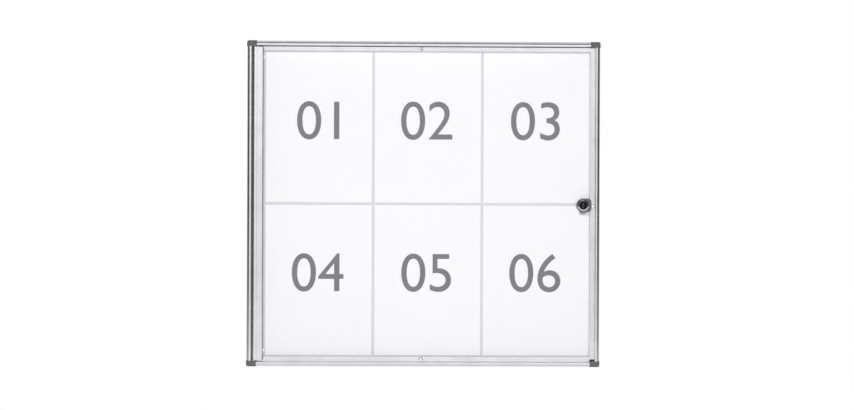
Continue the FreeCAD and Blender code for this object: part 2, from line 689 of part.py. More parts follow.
def lock_hole():
    """The barrel's outline with its play: a circle cut by two upright flats."""
    radius = "(barrel_radius + barrel_play)"
    flat = "(barrel_flat + barrel_play)"
    rise = "sqrt(%s ^ 2 - %s ^ 2)" % (radius, flat)
    return [
        ("%s + %s" % (LOCK_X, flat), "%s - %s" % (LOCK_Z, rise), radius, 1),
        ("%s + %s" % (LOCK_X, flat), "%s + %s" % (LOCK_Z, rise)),
        ("%s - %s" % (LOCK_X, flat), "%s + %s" % (LOCK_Z, rise), radius, 1),
        ("%s - %s" % (LOCK_X, flat), "%s - %s" % (LOCK_Z, rise)),
    ]


hinge_stile()
stile_cap("stile_cap_top", True)
stile_cap("stile_cap_bottom", False)
glazing_gasket()
upright_pin("hinge_pin_top", "(%s - pin_in_stile)" % DOOR_TOP, "(%s + pin_in_bush)" % CAP_EDGE, 1)
upright_pin("hinge_pin_bottom", "(0 - pin_in_bush - %s)" % CAP_EDGE, "(%s + pin_in_stile)" % DOOR_BOTTOM, -1)
hinge_bush("hinge_bush_top", 1)
hinge_bush("hinge_bush_bottom", -1)
clear_pane()


# Cam lock: housing, barrel with chromed rim, washer and nut stay in the door; plug and tongue turn
def lock_housing():
    """Moulded housing in front of the pane: round on the left, squarer on the right."""
    body = new_body("lock_housing")
    top, low = "%s + housing_radius" % LOCK_Z, "%s - housing_radius" % LOCK_Z
    right = "%s + housing_reach" % LOCK_X
    outline = [
        (LOCK_X, low) + ("housing_radius", 1),
        (right + " - housing_corner", low),
        (right, low + " + housing_corner", "housing_corner", 1),
        (right, top + " - housing_corner"),
        (right + " - housing_corner", top, "housing_corner", 1),
        (LOCK_X, top),
        ("%s - housing_radius" % LOCK_X, LOCK_Z, "housing_radius", 1),
    ]
    block = front_slab(body, "block", [outline, lock_hole()], HOUSING_FRONT, PANE_FRONT)
    front, middle, hole = size(depth(HOUSING_FRONT)), size(LOCK_X), size("barrel_radius + barrel_play")

    def outer_front(edge):
        """Front edges outside the barrel's hole."""
        reach = max(abs(edge.BoundBox.XMin - middle), abs(edge.BoundBox.XMax - middle))
        return lies_at_y(edge, front) and reach > hole and not near(reach, hole)

    dress(body, "Chamfer", block, "housing_round", outer_front)
    return body


def lock_barrel():
    """Zinc barrel: a chromed rim with a recess for the turning face, and two flats on the thread."""
    body = new_body("lock_barrel")
    bore = "plug_radius + plug_play"
    ring = [
        (bore, depth(BEZEL_FRONT + " + face_depth")),
        ("face_radius", depth(BEZEL_FRONT + " + face_depth")),
        ("face_radius", depth(BEZEL_FRONT)),
        ("bezel_radius", depth(HOUSING_FRONT + " - bezel_edge")),
        ("bezel_radius", depth(HOUSING_FRONT)),
        ("barrel_radius", depth(HOUSING_FRONT)),
        ("barrel_radius", depth(CAM_FRONT + " - plug_play")),
        (bore, depth(CAM_FRONT + " - plug_play")),
    ]
    turned(body, "half_section", ring, LOCK_X, LOCK_Z)
    far = "(barrel_radius + %s)" % PAST
    flats = []
    for low, high in (("0 - " + far, "0 - barrel_flat"), ("barrel_flat", far)):
        left, right = "%s + %s" % (LOCK_X, low), "%s + %s" % (LOCK_X, high)
        flats.append(rectangle(left, "%s - %s" % (LOCK_Z, far), right, "%s + %s" % (LOCK_Z, far)))
    front_cut(body, "flats", flats, HOUSING_FRONT, "(%s + %s)" % (CAM_FRONT, PAST))
    return body


def lock_plug():
    """Turning plug: round face with the key slot, shank, and square rear end."""
    body = new_body("lock_plug")
    face = "(%s + face_set_back)" % BEZEL_FRONT
    under = "%s + face_depth - plug_play" % BEZEL_FRONT
    ring = [
        ("0", depth(face)),
        ("face_radius - plug_play * 2", depth(face)),
        ("face_radius - plug_play * 2", depth(under)),
        ("plug_radius", depth(under)),
        ("plug_radius", depth(CAM_FRONT + " - plug_play")),
        ("0", depth(CAM_FRONT + " - plug_play")),
    ]
    turned(body, "half_section", ring, LOCK_X, LOCK_Z)
    half = "square_half"
    square = rectangle(
        "%s - %s" % (LOCK_X, half), "%s - %s" % (LOCK_Z, half), "%s + %s" % (LOCK_X, half),
        "%s + %s" % (LOCK_Z, half),
    )
    front_slab(body, "square_end", [square], "(%s - 2 * plug_play)" % CAM_FRONT, CAM_REAR)
    slot = rectangle(
        LOCK_X + " - keyway_width / 2", LOCK_Z + " - keyway_height / 2", LOCK_X + " + keyway_width / 2",
        LOCK_Z + " + keyway_height / 2",
    )
    front_cut(body, "keyway", [slot], face, face + " + keyway_depth")
    thread = [(LOCK_X, LOCK_Z, "cam_screw_radius + screw_play")]
    sketch = draw(body, "thread", "XZ_Plane", thread, ("0", "0", "0 - " + depth(CAM_REAR)))
    hole = extrude(body, "Pocket", sketch, "cam_screw_length + screw_play")
    hole.Reversed = True
    body.Tip = hole
    return body


def lock_washer():
    """Flat washer between the pane and the nut."""
    body = new_body("lock_washer")
    shapes = [(LOCK_X, LOCK_Z, "washer_radius"), lock_hole()]
    front_slab(body, "ring", shapes, PANE_REAR, PANE_REAR + " + washer_thick")
    return body


def lock_nut():
    """Hexagonal nut with two corners up and down and its rear corners chamfered."""
    body = new_body("lock_nut")
    corner = "(nut_across / sqrt(3))"
    points = []
    for step in range(6):
        angle = 90 + 60 * step
        x = "%s + %s * cos(%d deg)" % (LOCK_X, corner, angle)
        points.append((x, "%s + %s * sin(%d deg)" % (LOCK_Z, corner, angle)))
    front = "(%s + washer_thick)" % PANE_REAR
    hole = (LOCK_X, LOCK_Z, "barrel_radius + barrel_play")
    nut = front_slab(body, "hexagon", [points, hole], front, front + " + nut_thick")
    rear, radius = size(depth(front + " + nut_thick")), size("nut_across / 2")
    dress(
        body, "Chamfer", nut, "nut_chamfer",
        lambda edge: lies_at_y(edge, rear) and edge.Length < radius * 2,
    )
    return body


def lock_cam():
    """Locking tongue: it hangs down when unlocked and turns a quarter behind the right ledge."""
    body = new_body("lock_cam")
    wide = "cam_width / 2"
    tip = "(%s - cam_reach)" % LOCK_Z
    outline = [
        (LOCK_X + " - " + wide, LOCK_Z),
        (LOCK_X + " - " + wide, tip + " + cam_width / 4"),
        (LOCK_X + " - cam_width / 4", tip, "cam_width / 4", 1),
        (LOCK_X + " + cam_width / 4", tip),
        (LOCK_X + " + " + wide, tip + " + cam_width / 4", "cam_width / 4", 1),
        (LOCK_X + " + " + wide, LOCK_Z),
        (LOCK_X, LOCK_Z + " + " + wide, wide, 1),
    ]
    outline[0] += (wide, 1)
    half = "(square_half + square_play)"
    square = rectangle(
        "%s - %s" % (LOCK_X, half), "%s - %s" % (LOCK_Z, half), "%s + %s" % (LOCK_X, half),
        "%s + %s" % (LOCK_Z, half),
    )
    front_slab(body, "tongue", [outline, square], CAM_FRONT, CAM_REAR)
    return body


def lock_cam_screw():
    """Pan-head screw that holds the tongue on the plug's square end."""
    body = new_body("lock_cam_screw")
    ring = [
        ("0", depth(CAM_REAR + " - cam_screw_length")),
        ("cam_screw_radius", depth(CAM_REAR + " - cam_screw_length")),
        ("cam_screw_radius", depth(CAM_REAR)),
        ("cam_screw_head", depth(CAM_REAR)),
        ("cam_screw_head * 0.6", depth(CAM_REAR + " + cam_screw_head_thick")),
        ("0", depth(CAM_REAR + " + cam_screw_head_thick")),
    ]
    turned(body, "half_section", ring, LOCK_X, LOCK_Z)
    return body


lock_housing()
lock_barrel()
lock_plug()
lock_washer()
lock_nut()
lock_cam()
lock_cam_screw()

# Checks: every feature is up to date, every cut removes something, every sub-part is a valid solid
doc.recompute()
faults = []
for item in doc.Objects:
    if "Invalid" in item.State or "Error" in item.State:
        faults.append("%s of %s: %s" % (item.Label, item.getParentGeoFeatureGroup(), item.State))
    if item.TypeId == "PartDesign::Pocket" and not item.Shape.isNull():
        if item.Shape.Volume > item.BaseFeature.Shape.Volume - 0.01:
            faults.append("%s of %s cuts nothing" % (item.Label, item.getParentGeoFeatureGroup().Label))
bodies = [item for item in doc.Objects if item.TypeId == "PartDesign::Body"]
for body in bodies:
    if body.Shape.isNull() or not body.Shape.isValid():
        faults.append("%s has no valid shape" % body.Label)
if faults:
    raise RuntimeError("; ".join(faults))

os.makedirs("parts", exist_ok=True)
for body in bodies:
    body.Shape.exportStep("parts/%s.step" % body.Label)
    box = body.Shape.BoundBox
    print("%-18s %2d solids %9.1f mm3  x %.2f %.2f  y %.2f %.2f  z %.2f %.2f" % (
        body.Label, len(body.Shape.Solids), body.Shape.Volume,
        box.XMin, box.XMax, box.YMin, box.YMax, box.ZMin, box.ZMax,
    ))
print("hinge line at x %.3f y %.3f" % (size(HINGE_X), size(HINGE_Y)))
print("lock line at x %.3f z %.3f" % (size(LOCK_X), size(LOCK_Z)))
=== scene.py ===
# %% [markdown]
# # A lockable notice board
# The board is a slim wall case: four hollow aluminium profiles meet in moulded corner pieces, a clear door
# turns on a stile at the left, and a cam lock holds it shut at the right. The solids come from the CAD
# frame with their real sizes. This lesson gives them the surfaces of the real materials, adds the finer
# pieces that a drawing leaves out, and lights and frames them as a product photograph does.

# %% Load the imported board
import math

import bpy
import numpy as np
from mathutils import Euler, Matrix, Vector


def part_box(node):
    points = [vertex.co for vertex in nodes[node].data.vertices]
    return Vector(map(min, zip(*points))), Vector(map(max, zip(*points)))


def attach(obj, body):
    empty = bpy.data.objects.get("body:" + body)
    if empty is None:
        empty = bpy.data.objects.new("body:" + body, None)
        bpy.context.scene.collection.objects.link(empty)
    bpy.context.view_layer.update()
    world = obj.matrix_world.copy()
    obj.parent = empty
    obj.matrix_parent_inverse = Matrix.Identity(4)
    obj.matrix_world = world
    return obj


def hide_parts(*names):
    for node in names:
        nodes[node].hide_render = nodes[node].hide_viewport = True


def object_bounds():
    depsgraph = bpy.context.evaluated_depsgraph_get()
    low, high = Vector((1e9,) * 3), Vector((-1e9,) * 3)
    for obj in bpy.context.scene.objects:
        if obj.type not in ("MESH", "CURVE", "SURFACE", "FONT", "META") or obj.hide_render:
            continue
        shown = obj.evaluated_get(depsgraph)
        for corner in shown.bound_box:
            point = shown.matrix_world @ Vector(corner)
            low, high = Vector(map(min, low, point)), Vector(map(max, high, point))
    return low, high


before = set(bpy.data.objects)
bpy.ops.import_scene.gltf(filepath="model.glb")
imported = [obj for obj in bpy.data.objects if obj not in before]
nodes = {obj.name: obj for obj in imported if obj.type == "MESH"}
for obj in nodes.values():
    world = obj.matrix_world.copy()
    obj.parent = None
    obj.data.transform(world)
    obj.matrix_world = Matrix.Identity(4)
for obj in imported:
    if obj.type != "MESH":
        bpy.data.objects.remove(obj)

MM = 0.001
cad_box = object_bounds()
print("nodes:", len(nodes), " size in mm:", [round(v / MM, 1) for v in cad_box[1] - cad_box[0]])

# %% [markdown]
# ## The camera
# The photograph looks straight at the board with a long lens, so the inner walls of the frame show as
# thin lines only. The picture doesn't tell the distance. It is taken as about three metres, which also
# sets the focal length. The place and the turn were then fitted to the four corners of the frame in the
# picture. They agree to 0.5 or 0.7 pixel, depending on how the corners are measured.

# %% The photograph's camera
PHOTO_WIDTH = 854
FOCAL_PIXELS = 1522.8
SENSOR_WIDTH = 36.0
CAMERA_PLACE = (-39.4, -3026.3, 3.6)
CAMERA_TURN = (89.893, -0.22, -0.88)

lens = bpy.data.cameras.new("long_lens")
lens.sensor_width = SENSOR_WIDTH
lens.lens = FOCAL_PIXELS * SENSOR_WIDTH / PHOTO_WIDTH
camera = bpy.data.objects.new("camera", lens)
camera.location = Vector(CAMERA_PLACE) * MM
camera.rotation_euler = Euler([math.radians(angle) for angle in CAMERA_TURN])
bpy.context.scene.collection.objects.link(camera)
bpy.context.scene.camera = camera
bpy.context.scene.view_settings.view_transform = "Standard"
print("focal length:", round(lens.lens, 1), "mm")

# %% [markdown]
# ## Helpers for nodes
# A material is a small network of nodes. One function adds a node, sets its properties, and fills each
# input with a number or with another node's output, so a network reads as a list of short lines. The
# studio, the floor and the clear parts treat some kinds of rays in their own way, so another function
# tells when a ray is of such a kind.

# %% Add a node, turn a screen colour into a linear one, and tell rays apart
def add(tree, kind, inputs=None, **settings):
    """Adds one node, sets its properties, and gives each named input a value or another node's output."""
    made = tree.nodes.new(kind)
    for name, value in settings.items():
        setattr(made, name, value)
    for name, value in (inputs or {}).items():
        if isinstance(value, bpy.types.NodeSocket):
            tree.links.new(value, made.inputs[name])
        else:
            made.inputs[name].default_value = value
    return made


def linear(hex_colour):
    """Turns an sRGB colour such as #8A8C90 into linear red, green, blue and an alpha of one."""
    parts = np.array([int(hex_colour[i:i + 2], 16) for i in (1, 3, 5)]) / 255
    low, high = parts / 12.92, ((parts + 0.055) / 1.055) ** 2.4
    return (*np.where(parts <= 0.04045, low, high), 1.0)


def any_ray(tree, *kinds):
    """One for a ray of any of the named kinds, such as Camera or Shadow, and zero for the others."""
    rays = add(tree, "ShaderNodeLightPath")
    found = rays.outputs["Is %s Ray" % kinds[0]]
    for kind in kinds[1:]:
        found = add(tree, "ShaderNodeMath", {0: found, 1: rays.outputs["Is %s Ray" % kind]},
                    operation="MAXIMUM").outputs[0]
    return found


print("mid grey, linear:", [round(float(v), 3) for v in linear("#808080")])

# %% [markdown]
# ## The studio
# The photograph has a plain white background and soft light. A wide softbox stands in front, higher than
# the camera, so flat metal is bright at the top and a little greyer at the bottom. Above it the room is
# nearly black, up to a dim ceiling. Dark flags at both sides fade out below the height of the lens. They
# give the rounded shoulders of the frame a dark edge that grows lighter towards the bottom. The half of
# the room behind the board is plain light grey. The world does all of this by direction: camera rays see
# plain white, reflections see the softbox, the flags and the room, and everything else gets a soft light
# without edges, weak from the front and stronger from the rear. Each stop is a height, from 0 straight
# down to 1 straight up, with its brightness. Sides, heights and depths are parts of a direction of length
# one. Tones and strengths are brightness.

# %% The world
STOPS = ((0.0, 0.5), (0.15, 0.72), (0.36, 0.98), (0.46, 0.92), (0.51, 0.9), (0.57, 1.34), (0.63, 1.25),
         (0.67, 0.03), (0.8, 0.03), (0.87, 0.55), (1.0, 0.6))
FLAG_MIDDLE = -0.02
FLAG_SIDES = (0.14, 0.5)
FLAG_HEIGHTS, FLAG_TONES = (-0.3, -0.02), (0.8, 0.05)
REAR_DEPTHS, REAR_TONE = (-0.05, 0.4), 0.7
SOFT_FRONT, SOFT_REAR = 0.12, 0.85
MIRRORED_STRENGTH = 1.04

world = bpy.data.worlds.new("white_studio")
world.use_nodes = True
bpy.context.scene.world = world
tree = world.node_tree
tree.nodes.clear()
toward = add(tree, "ShaderNodeTexCoord")
axes = add(tree, "ShaderNodeSeparateXYZ", {"Vector": toward.outputs["Generated"]})
shifted = add(tree, "ShaderNodeMath", {0: axes.outputs["X"], 1: -FLAG_MIDDLE}, operation="ADD")
sideways = add(tree, "ShaderNodeMath", {0: shifted.outputs[0]}, operation="ABSOLUTE")
flag_tone = add(tree, "ShaderNodeMapRange", {
    "Value": axes.outputs["Z"], "From Min": FLAG_HEIGHTS[0], "From Max": FLAG_HEIGHTS[1],
    "To Min": FLAG_TONES[0], "To Max": FLAG_TONES[1]})
flags = add(tree, "ShaderNodeMapRange", {
    "Value": sideways.outputs[0], "From Min": FLAG_SIDES[0], "From Max": FLAG_SIDES[1], "To Min": 1.0,
    "To Max": flag_tone.outputs["Result"]}, interpolation_type="SMOOTHSTEP")
height = add(tree, "ShaderNodeMapRange", {"Value": axes.outputs["Z"], "From Min": -1.0, "From Max": 1.0})
softbox = add(tree, "ShaderNodeValToRGB", {"Fac": height.outputs["Result"]})
while len(softbox.color_ramp.elements) < len(STOPS):
    softbox.color_ramp.elements.new(0.5)
for stop, (place, level) in zip(softbox.color_ramp.elements, STOPS):
    stop.position = place
    stop.color = (level, level, level, 1.0)
room = add(tree, "ShaderNodeMix", {0: 1.0, 6: softbox.outputs["Color"], 7: flags.outputs["Result"]},
           data_type="RGBA", blend_type="MULTIPLY")
behind = add(tree, "ShaderNodeMapRange", {
    "Value": axes.outputs["Y"], "From Min": REAR_DEPTHS[0], "From Max": REAR_DEPTHS[1]},
    interpolation_type="SMOOTHSTEP").outputs["Result"]
whole_room = add(tree, "ShaderNodeMix", {
    0: behind, 6: room.outputs[2], 7: (REAR_TONE, REAR_TONE, REAR_TONE, 1.0)}, data_type="RGBA")
soft_tone = add(tree, "ShaderNodeMapRange", {"Value": behind, "To Min": SOFT_FRONT, "To Max": SOFT_REAR})
white = add(tree, "ShaderNodeBackground", {"Color": (1.0, 1.0, 1.0, 1.0), "Strength": 1.0})
mirrored = add(tree, "ShaderNodeBackground", {
    "Color": whole_room.outputs[2], "Strength": MIRRORED_STRENGTH})
soft = add(tree, "ShaderNodeBackground", {"Color": soft_tone.outputs["Result"], "Strength": 1.0})
lit = add(tree, "ShaderNodeMixShader", {
    0: any_ray(tree, "Glossy"), 1: soft.outputs[0], 2: mirrored.outputs[0]})
sky = add(tree, "ShaderNodeMixShader", {
    0: any_ray(tree, "Camera", "Transmission"), 1: lit.outputs[0], 2: white.outputs[0]})
add(tree, "ShaderNodeOutputWorld", {"Surface": sky.outputs[0]})
print("softbox stops:", len(softbox.color_ramp.elements))

# %% [markdown]
# ## The lamps
# Two lamps light what the world leaves dull. The key light is a small softbox in front of the board and
# above its top left corner, so the stile's shadow falls straight behind it, and the lock's faint shadow
# falls to the lower right. A larger fill, a little below the lens, evens out the panel. A real studio
# keeps the image of its lamps out of the pane and the metal with screens, so neither is mirrored or seen.

# %% The lamps
def softbox_lamp(name, place, aim, side, watts):
    """A square area lamp at a place, turned towards a point, that lights without being seen itself."""
    data = bpy.data.lights.new(name, "AREA")
    data.shape, data.size, data.energy = "SQUARE", side, watts
    lamp = bpy.data.objects.new(name, data)
    lamp.visible_glossy = lamp.visible_camera = False
    lamp.location = place
    lamp.rotation_euler = (Vector(aim) - Vector(place)).to_track_quat("-Z", "Y").to_euler()
    bpy.context.scene.collection.objects.link(lamp)
    return lamp


key = softbox_lamp("key_light", (-0.34, -2.6, 0.6), (0.0, 0.0, 0.0), 0.4, 25.0)
fill = softbox_lamp("fill_light", (0.2, -2.6, -0.14), (0.0, 0.0, -0.1), 0.8, 32.5)
for lamp in (key, fill):
    print(lamp.name, "is", round(lamp.location.length, 2), "m away")

# %% [markdown]
# ## The floor
# The board hangs above a plain pale floor. The floor ends before it would come into the photograph's
# view, which is white to its edges. Part of its brightness is given only to rays from the camera, also
# when the pane or the metal has sent them on. So it stays pale without lighting the board from below,
# and it still darkens where the board shades it.

# %% A pale floor below the board
FLOOR_DROP = 0.25
FLOOR_X, FLOOR_FRONT, FLOOR_BACK = 2.4, -2.4, 1.0
FLOOR_POINTS = 9
FLOOR_GLOW = 0.65


def grid_faces(rows, columns):
    """The four corner numbers of every cell of a grid of points stored row by row."""
    first = (np.arange(rows - 1)[:, None] * columns + np.arange(columns - 1)).ravel()
    return np.stack([first, first + 1, first + columns + 1, first + columns], axis=1)


def mesh_of(name, points, *faces, sharp=35.0):
    """A smooth mesh object at the origin, with creases where two faces meet at over the sharp angle."""
    mesh = bpy.data.meshes.new(name)
    mesh.from_pydata(points.reshape(-1, 3).tolist(), [], [face for group in faces for face in group.tolist()])
    mesh.polygons.foreach_set("use_smooth", np.ones(len(mesh.polygons), dtype=bool))
    mesh.set_sharp_from_angle(angle=math.radians(sharp))
    mesh.update()
    made = bpy.data.objects.new(name, mesh)
    bpy.context.scene.collection.objects.link(made)
    return made


floor_level = cad_box[0].z - FLOOR_DROP
across, along = np.meshgrid(np.linspace(-FLOOR_X, FLOOR_X, FLOOR_POINTS),
                            np.linspace(FLOOR_FRONT, FLOOR_BACK, FLOOR_POINTS))
floor = mesh_of("floor", np.stack([across, along, np.full_like(across, floor_level)], axis=-1),
                grid_faces(FLOOR_POINTS, FLOOR_POINTS))
floor_paint = bpy.data.materials.new("matt_white_floor")
floor_paint.use_nodes = True
tree = floor_paint.node_tree
tree.nodes.clear()
looked_at = any_ray(tree, "Camera", "Glossy", "Transmission")
share = add(tree, "ShaderNodeMath", {0: looked_at, 1: FLOOR_GLOW}, operation="MULTIPLY")
matt = add(tree, "ShaderNodeBsdfDiffuse", {"Color": linear("#DCDCDE")})
glow = add(tree, "ShaderNodeEmission", {"Color": (1.0, 1.0, 1.0, 1.0), "Strength": 1.0})
mixed = add(tree, "ShaderNodeMixShader", {0: share.outputs[0], 1: matt.outputs[0], 2: glow.outputs[0]})
add(tree, "ShaderNodeOutputMaterial", {"Surface": mixed.outputs[0]})
floor.data.materials.append(floor_paint)
print("floor at", round(floor_level / MM), "mm")

# %% [markdown]
# ## Surfaces
# Every material below starts from one function, which hands back the material with its network and its
# shader. Each pattern starts from the object's own coordinates, so its scale is in real millimetres.

# %% Start a material
def surface(name, colour, roughness, **values):
    """A named material: sets the shader's plain numbers, and returns it with its network and shader."""
    made = bpy.data.materials.new(name)
    made.use_nodes = True
    shader = made.node_tree.nodes["Principled BSDF"]
    shader.inputs["Base Color"].default_value = linear(colour)
    shader.inputs["Roughness"].default_value = roughness
    for key_name, value in values.items():
        shader.inputs[key_name.replace("_", " ")].default_value = value
    return made, made.node_tree, shader


def pattern(tree, spacing, detail=2.0, stretch=(1.0, 1.0, 1.0)):
    """Noise in object coordinates: spacing is its grain in millimetres, stretch draws it out per axis."""
    place = add(tree, "ShaderNodeTexCoord")
    scaled = add(tree, "ShaderNodeMapping", {"Vector": place.outputs["Object"],
                                             "Scale": tuple(1 / (spacing * MM * s) for s in stretch)})
    return add(tree, "ShaderNodeTexNoise", {"Vector": scaled.outputs["Vector"], "Scale": 1.0,
                                            "Detail": detail}).outputs["Fac"]


def spread(tree, value, low, high):
    """Maps the middle of a noise, 0.3 to 0.7, to a range of values."""
    return add(tree, "ShaderNodeMapRange", {"Value": value, "From Min": 0.3, "From Max": 0.7,
                                            "To Min": low, "To Max": high}).outputs["Result"]


def blend_colours(tree, value, first, second):
    """Fades from one sRGB colour to another as the value goes from 0 to 1."""
    return add(tree, "ShaderNodeMix", {0: value, 6: linear(first), 7: linear(second)},
               data_type="RGBA").outputs[2]


def bumped(tree, shader, value, depth, strength=1.0):
    """Raises the surface by up to a depth in millimetres where the value is one."""
    bump = add(tree, "ShaderNodeBump", {"Height": value, "Distance": depth * MM, "Strength": strength})
    tree.links.new(bump.outputs["Normal"], shader.inputs["Normal"])


def wear(material, *names):
    """Gives a material to CAD nodes by assigning it to their slots."""
    for name in names:
        nodes[name].material_slots[0].material = material


# %% [markdown]
# ## Anodised aluminium
# The profiles and the stile are extruded aluminium with a clear satin anodised film. The die leaves fine
# straight lines along the extrusion, and the film blurs reflections, so the metal shows soft bands of
# light instead of a mirror image. Real lines lie closer together than here: they are drawn 0.7 mm apart
# so that they show. Upright and level lengths need their lines along different axes, so the metal is
# made once for each run.

# %% Satin anodised aluminium, once for each run
DIE_LINE = 0.7
LINE_LENGTH = 400.0
FILM_PATCH = 35.0


def anodised(name, stretch, die_axis):
    """Anodised aluminium with die lines along an axis, which spread reflections across that axis.

    The tangent of the shader is the cross product of the surface's normal and the die lines' axis.
    """
    made, tree, shader = surface(name, "#E7E6EA", 0.2, Metallic=1.0, Anisotropic=0.5)
    lines = pattern(tree, DIE_LINE, 3.0, stretch)
    film = pattern(tree, FILM_PATCH, 2.0)
    tone = blend_colours(tree, spread(tree, film, 0.0, 1.0), "#E2E1E5", "#EBEAEE")
    tree.links.new(tone, shader.inputs["Base Color"])
    tree.links.new(spread(tree, lines, 0.18, 0.22), shader.inputs["Roughness"])
    facing = add(tree, "ShaderNodeNewGeometry").outputs["Normal"]
    across_lines = add(tree, "ShaderNodeVectorMath", {0: facing, 1: die_axis}, operation="CROSS_PRODUCT")
    tree.links.new(across_lines.outputs["Vector"], shader.inputs["Tangent"])
    bumped(tree, shader, lines, 0.01, 0.2)
    return made


LONG = LINE_LENGTH / DIE_LINE
upright_aluminium = anodised("anodised_aluminium_upright", (1.0, 1.0, LONG), (0.0, 0.0, 1.0))
level_aluminium = anodised("anodised_aluminium_level", (LONG, 1.0, 1.0), (1.0, 0.0, 0.0))
wear(upright_aluminium, "frame_left", "frame_right", "hinge_stile")
wear(level_aluminium, "frame_top", "frame_bottom")
print("die lines every", DIE_LINE, "mm, about", LINE_LENGTH, "mm long")

# %% [markdown]
# ## Moulded plastic
# The corner pieces, the stile's end caps and the lock's housing are moulded in mid grey, from a tool
# with a spark-eroded surface. That gives a fine grain which scatters the light, with no clear highlight.
# The real grain is about 0.1 mm, too fine to show here, so it is drawn at 0.35 mm. On the top left and the
# bottom right corner a small tab reaches over the end of the ledge. Its face is painted black, as painted
# shade for the dark gap at that corner of the recess. Its black felt face is a guess. The face is found by
# its place: no other part of a corner piece is both nearer the board's middle height than the block and
# inside the frame's front band.

# %% Spark-eroded grey plastic
GRAIN = 0.35
FLOW_PATCH = 14.0
DARK_GREY, LIGHT_GREY, BLACK_PAINTED_SHADE = "#5F5E61", "#666568", "#141415"
TAB_LIMIT_X, TAB_LIMIT_Z = 339.0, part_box("frame_left")[1].z / MM - 0.01


def moulded(name):
    """Grained grey plastic whose tone drifts a little, as flow in the mould leaves it."""
    made, tree, shader = surface(name, DARK_GREY, 0.55, IOR=1.5)
    flow = pattern(tree, FLOW_PATCH, 3.0)
    tone = blend_colours(tree, spread(tree, flow, 0.0, 1.0), DARK_GREY, LIGHT_GREY)
    tree.links.new(tone, shader.inputs["Base Color"])
    grit = pattern(tree, GRAIN, 2.0)
    tree.links.new(spread(tree, grit, 0.48, 0.62), shader.inputs["Roughness"])
    bumped(tree, shader, grit, 0.03, 0.5)
    return made, tree, shader, tone


def nearer_than(tree, axis, limit):
    """One where the place's distance from the board's middle along an axis is under a limit."""
    place = add(tree, "ShaderNodeTexCoord").outputs["Object"]
    along_axis = add(tree, "ShaderNodeSeparateXYZ", {"Vector": place}).outputs[axis]
    far = add(tree, "ShaderNodeMath", {0: along_axis}, operation="ABSOLUTE").outputs[0]
    return add(tree, "ShaderNodeMath", {0: far, 1: limit * MM}, operation="LESS_THAN").outputs[0]


corner_plastic, tree, shader, tone = moulded("grained_grey_plastic_with_painted_shade")
# Painted shade: the tab's face is mixed to black, for the dark gap at the corner of the recess.
painted_shade_on_tab = add(tree, "ShaderNodeMath", {0: nearer_than(tree, "X", TAB_LIMIT_X),
                                      1: nearer_than(tree, "Z", TAB_LIMIT_Z)}, operation="MULTIPLY")
tab_with_painted_shade = add(tree, "ShaderNodeMix", {0: painted_shade_on_tab.outputs[0], 6: tone, 7: linear(BLACK_PAINTED_SHADE)},
             data_type="RGBA")
tree.links.new(tab_with_painted_shade.outputs[2], shader.inputs["Base Color"])
wear(corner_plastic, "corner_top_left", "corner_top_right", "corner_bottom_left", "corner_bottom_right")

small_plastic = moulded("grained_grey_plastic")[0]
wear(small_plastic, "stile_cap_top", "stile_cap_bottom", "lock_housing")
print("the tabs lie within", TAB_LIMIT_X, "by", round(TAB_LIMIT_Z, 2), "mm of the middle")

# %% [markdown]
# ## The back panel
# The panel is thin steel sheet, lacquered white in a coil line. The lacquer has a soft orange peel about
# a millimetre and a half across. The photograph doesn't show its rear, which is taken to have only a grey
# primer. So the colour is chosen by which way the face looks in the object's own space.

# %% White lacquered steel with a primed rear
WHITE_LACQUER, GREY_PRIMER = "#D6D6DE", "#9C9FA2"
PEEL = 1.5

lacquer, tree, shader = surface("white_coil_lacquer", WHITE_LACQUER, 0.38, IOR=1.5)
facing = add(tree, "ShaderNodeTexCoord").outputs["Normal"]
facing_back = add(tree, "ShaderNodeSeparateXYZ", {"Vector": facing}).outputs["Y"]
is_rear = add(tree, "ShaderNodeMath", {0: facing_back, 1: 0.5}, operation="GREATER_THAN").outputs[0]
tree.links.new(blend_colours(tree, is_rear, WHITE_LACQUER, GREY_PRIMER), shader.inputs["Base Color"])
peel = pattern(tree, PEEL, 1.0)
tree.links.new(spread(tree, peel, 0.34, 0.42), shader.inputs["Roughness"])
bumped(tree, shader, peel, 0.02, 0.5)
wear(lacquer, "back_panel")
print("back panel lacquered")

# %% [markdown]
# ## Paper
# The six sheets are white office paper. Paper scatters light evenly and has a faint cloudiness from its
# fibres, which lie a few tenths of a millimetre apart.

# %% Office paper
PAPER_CLOUD = 6.0
PAPER_FIBRE = 0.5

paper, tree, shader = surface("office_paper", "#F6F6F8", 0.85, IOR=1.45)
clouds = pattern(tree, PAPER_CLOUD, 3.0)
tree.links.new(blend_colours(tree, spread(tree, clouds, 0.0, 1.0), "#F5F5F7", "#F8F8FA"),
               shader.inputs["Base Color"])
bumped(tree, shader, pattern(tree, PAPER_FIBRE, 3.0), 0.02, 0.4)
wear(paper, "notice_sheets")
print("paper on", len(nodes["notice_sheets"].data.polygons), "triangles")

# %% [markdown]
# ## The clear door
# The pane is 3 mm acrylic sheet. It mirrors about four per cent of the light at each face and lets the
# rest through. Light that goes through a pane to what lies behind it would need very many rays, so rays
# from lamps, and rays that have already met a surface, pass it almost as if it weren't there. The camera
# sees real acrylic, with its reflections and the bent view through its edges.

# %% Clear acrylic
acrylic, tree, shader = surface("clear_acrylic", "#FFFFFF", 0.0, IOR=1.49, Transmission_Weight=1.0)
passing = any_ray(tree, "Shadow", "Diffuse", "Glossy")
open_air = add(tree, "ShaderNodeBsdfTransparent", {"Color": linear("#FDFDFD")})
mixed = add(tree, "ShaderNodeMixShader", {0: passing, 1: shader.outputs[0], 2: open_air.outputs[0]})
tree.links.new(mixed.outputs[0], tree.nodes["Material Output"].inputs["Surface"])
wear(acrylic, "pane")

# %% [markdown]
# ## Rubber
# A grey strip closes the joint between the stile and the pane. Three small clear bumpers sit on the
# ledge and keep the door from knocking. They are soft clear rubber, slightly hazy inside, and most of the
# light passes straight through them.

# %% Gasket and bumpers
BUMPER_CLARITY = 0.82

